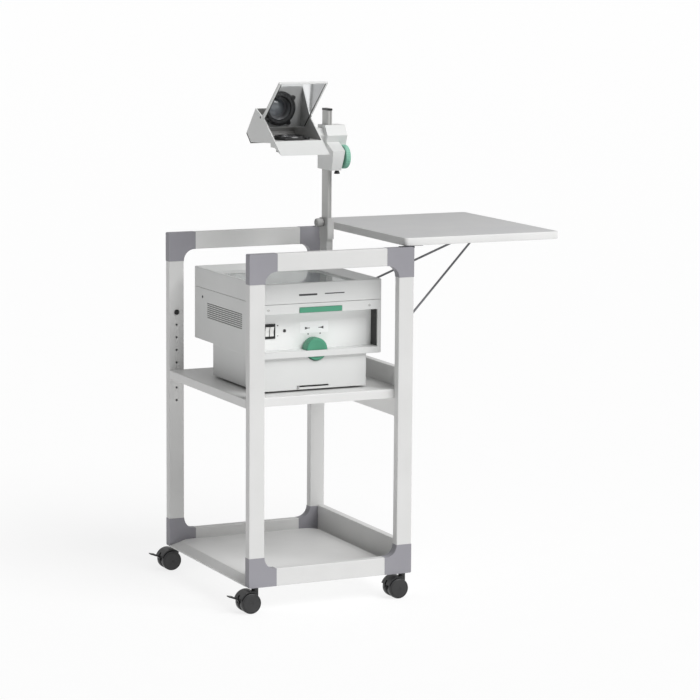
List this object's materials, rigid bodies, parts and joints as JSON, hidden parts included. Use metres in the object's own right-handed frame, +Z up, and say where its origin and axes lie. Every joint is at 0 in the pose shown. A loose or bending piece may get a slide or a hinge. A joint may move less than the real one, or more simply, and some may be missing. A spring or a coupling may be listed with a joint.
{
  "type": "overhead projector on a mobile trolley",
  "caption": "Overhead projector with a folding mirror head on a column, standing on the middle shelf of a tube-framed trolley with casters and a fold-down side shelf.",
  "frame": {"origin": "on the floor, under the middle of the whole outline with the side shelf out", "axes": "+Z up, +X to the right towards the side shelf, +Y away from the front"},
  "size_m": [0.888, 0.5504, 1.2524],
  "materials": {
    "light_grey_tube": "satin powder coat",
    "mid_grey_moulding": "fine moulded texture",
    "light_grey_sheet": "satin powder coat",
    "grey_laminate": "laminated board",
    "black_hood": "moulded",
    "black_wheel": "moulded",
    "steel": "zinc plated",
    "dark_steel": "dark finish",
    "grey_wire": "grey coat",
    "case_grey": "fine moulded texture",
    "panel_grey": "satin",
    "green": "moulded",
    "black_plastic": "moulded",
    "white_rocker": "moulded",
    "clear_glass": "polished",
    "mirror": "polished",
    "column_grey": "satin anodised",
    "lamp_grey": "clear quartz"
  },
  "bodies": {
    "trolley": {"bottom_tray": "light_grey_sheet", "bottom_tray_side_board": "grey_laminate", "caster_stems": "steel", "column": "column_grey", "column_bracket": "case_grey", "column_cap": "black_plastic", "cooling_fan": "black_plastic", "far_frame_bottom_rail": "light_grey_tube", "far_frame_corners": "mid_grey_moulding", "far_frame_left_post": "light_grey_tube", "far_frame_right_post": "light_grey_tube", "far_frame_top_rail": "light_grey_tube", "halogen_lamp": "lamp_grey", "indicator_lamp": "black_plastic", "middle_shelf": "light_grey_sheet", "middle_shelf_side_board": "grey_laminate", "near_frame_bottom_rail": "light_grey_tube", "near_frame_corners": "mid_grey_moulding", "near_frame_left_post": "light_grey_tube", "near_frame_right_post": "light_grey_tube", "near_frame_top_rail": "light_grey_tube", "post_hole_plugs": "black_plastic", "projector_base_case": "case_grey", "projector_feet": "black_plastic", "projector_front_panel": "panel_grey", "projector_power_inlet": "black_plastic", "projector_upper_case": "case_grey", "shelf_screws": "steel", "side_shelf_hinge_leaves": "dark_steel", "switch_frame": "black_plastic"},
    "caster_near_left": {"caster_near_left_hood": "black_hood"},
    "wheels_near_left": {"caster_near_left_wheels": "black_wheel"},
    "caster_near_right": {"caster_near_right_hood": "black_hood"},
    "wheels_near_right": {"caster_near_right_wheels": "black_wheel"},
    "caster_far_left": {"caster_far_left_hood": "black_hood"},
    "wheels_far_left": {"caster_far_left_wheels": "black_wheel"},
    "caster_far_right": {"caster_far_right_hood": "black_hood"},
    "wheels_far_right": {"caster_far_right_wheels": "black_wheel"},
    "brake_near_left": {"caster_near_left_brake": "black_wheel"},
    "brake_far_left": {"caster_far_left_brake": "black_wheel"},
    "side_shelf": {"side_shelf_board": "grey_laminate", "side_shelf_hinge_pintles": "dark_steel", "side_shelf_stay_saddle": "black_plastic"},
    "wire_stay": {"side_shelf_wire_stay": "grey_wire"},
    "stage_lid": {"stage_lid": "case_grey", "stage_glass": "clear_glass", "fresnel_lens": "clear_glass"},
    "lid_latch": {"lid_latch_bar": "green"},
    "adjust_knob": {"stage_adjust_knob": "green"},
    "rocker_left": {"switch_rocker_left": "white_rocker"},
    "rocker_right": {"switch_rocker_right": "white_rocker"},
    "carriage": {"focus_carriage": "case_grey", "head_housing": "case_grey", "lens_barrel": "black_plastic", "objective_lens": "clear_glass"},
    "focus_knob": {"focus_knob": "green"},
    "stop_screw": {"carriage_stop_screw": "black_plastic"},
    "mirror_flap": {"mirror_frame": "case_grey", "mirror_glass": "mirror"},
    "clamp_knob": {"column_clamp_knob": "case_grey"}
  },
  "joints": [
    {"name": "swivel_near_left", "type": "hinge", "parent": "trolley", "child": "caster_near_left", "pos_m": [-0.374, -0.253, 0.045], "axis": [0, 0, 1], "continuous": true},
    {"name": "roll_near_left", "type": "hinge", "parent": "caster_near_left", "child": "wheels_near_left", "pos_m": [-0.391, -0.253, 0.025], "axis": [0, 1, 0], "continuous": true},
    {"name": "swivel_near_right", "type": "hinge", "parent": "trolley", "child": "caster_near_right", "pos_m": [0.018, -0.253, 0.045], "axis": [0, 0, 1], "continuous": true},
    {"name": "roll_near_right", "type": "hinge", "parent": "caster_near_right", "child": "wheels_near_right", "pos_m": [0.001, -0.253, 0.025], "axis": [0, 1, 0], "continuous": true},
    {"name": "swivel_far_left", "type": "hinge", "parent": "trolley", "child": "caster_far_left", "pos_m": [-0.374, 0.253, 0.045], "axis": [0, 0, 1], "continuous": true},
    {"name": "roll_far_left", "type": "hinge", "parent": "caster_far_left", "child": "wheels_far_left", "pos_m": [-0.391, 0.253, 0.025], "axis": [0, 1, 0], "continuous": true},
    {"name": "swivel_far_right", "type": "hinge", "parent": "trolley", "child": "caster_far_right", "pos_m": [0.018, 0.253, 0.045], "axis": [0, 0, 1], "continuous": true},
    {"name": "roll_far_right", "type": "hinge", "parent": "caster_far_right", "child": "wheels_far_right", "pos_m": [0.001, 0.253, 0.025], "axis": [0, 1, 0], "continuous": true},
    {"name": "brake_press_near_left", "type": "hinge", "parent": "caster_near_left", "child": "brake_near_left", "pos_m": [-0.415, -0.253, 0.033], "axis": [0, 1, 0], "range_deg": [-22, 0]},
    {"name": "brake_press_far_left", "type": "hinge", "parent": "caster_far_left", "child": "brake_far_left", "pos_m": [-0.415, 0.253, 0.033], "axis": [0, 1, 0], "range_deg": [-22, 0]},
    {"name": "side_shelf_fold", "type": "hinge", "parent": "trolley", "child": "side_shelf", "pos_m": [0.0425, 0, 0.8595], "axis": [0, 1, 0], "range_deg": [0, 85]},
    {"name": "wire_stay_swing", "type": "hinge", "parent": "trolley", "child": "wire_stay", "pos_m": [0.018, 0, 0.6605], "axis": [0, 1, 0], "range_deg": [0, 107]},
    {"name": "stage_lid_open", "type": "hinge", "parent": "trolley", "child": "stage_lid", "pos_m": [-0.177, 0.22, 0.73], "axis": [-1, 0, 0], "range_deg": [0, 35]},
    {"name": "lid_latch_press", "type": "slide", "parent": "trolley", "child": "lid_latch", "axis": [0, 1, 0], "range_m": [0, 0.0015], "stiffness_N_per_m": 500},
    {"name": "adjust_knob_turn", "type": "hinge", "parent": "trolley", "child": "adjust_knob", "pos_m": [-0.186, -0.174, 0.616], "axis": [0, 1, 0], "range_deg": [-60, 60]},
    {"name": "rocker_left_press", "type": "hinge", "parent": "trolley", "child": "rocker_left", "pos_m": [-0.304, -0.158, 0.661], "axis": [1, 0, 0], "range_deg": [0, 14]},
    {"name": "rocker_right_press", "type": "hinge", "parent": "trolley", "child": "rocker_right", "pos_m": [-0.292, -0.158, 0.661], "axis": [1, 0, 0], "range_deg": [0, 14]},
    {"name": "focus_travel", "type": "slide", "parent": "trolley", "child": "carriage", "axis": [0, 0, 1], "range_m": [-0.105, 0.03]},
    {"name": "focus_knob_turn", "type": "hinge", "parent": "carriage", "child": "focus_knob", "pos_m": [0.021, 0.103, 1.051], "axis": [1, 0, 0], "continuous": true},
    {"name": "stop_screw_turn", "type": "hinge", "parent": "carriage", "child": "stop_screw", "pos_m": [0.001, 0.098, 1.01], "axis": [0, 0, 1], "range_deg": [-180, 180]},
    {"name": "mirror_tilt", "type": "hinge", "parent": "carriage", "child": "mirror_flap", "pos_m": [-0.177, 0.0065, 1.1645], "axis": [1, 0, 0], "range_deg": [-20, 74]},
    {"name": "clamp_knob_turn", "type": "hinge", "parent": "trolley", "child": "clamp_knob", "pos_m": [-0.023, 0.149, 0.882], "axis": [1, 0, 0], "range_deg": [-180, 180]}
  ],
  "couplings": [
    {"joint": "wire_stay_swing", "follows": "side_shelf_fold", "ratio": 1.25},
    {"joint": "focus_knob_turn", "follows": "focus_travel", "rad_per_m": 160}
  ]
}
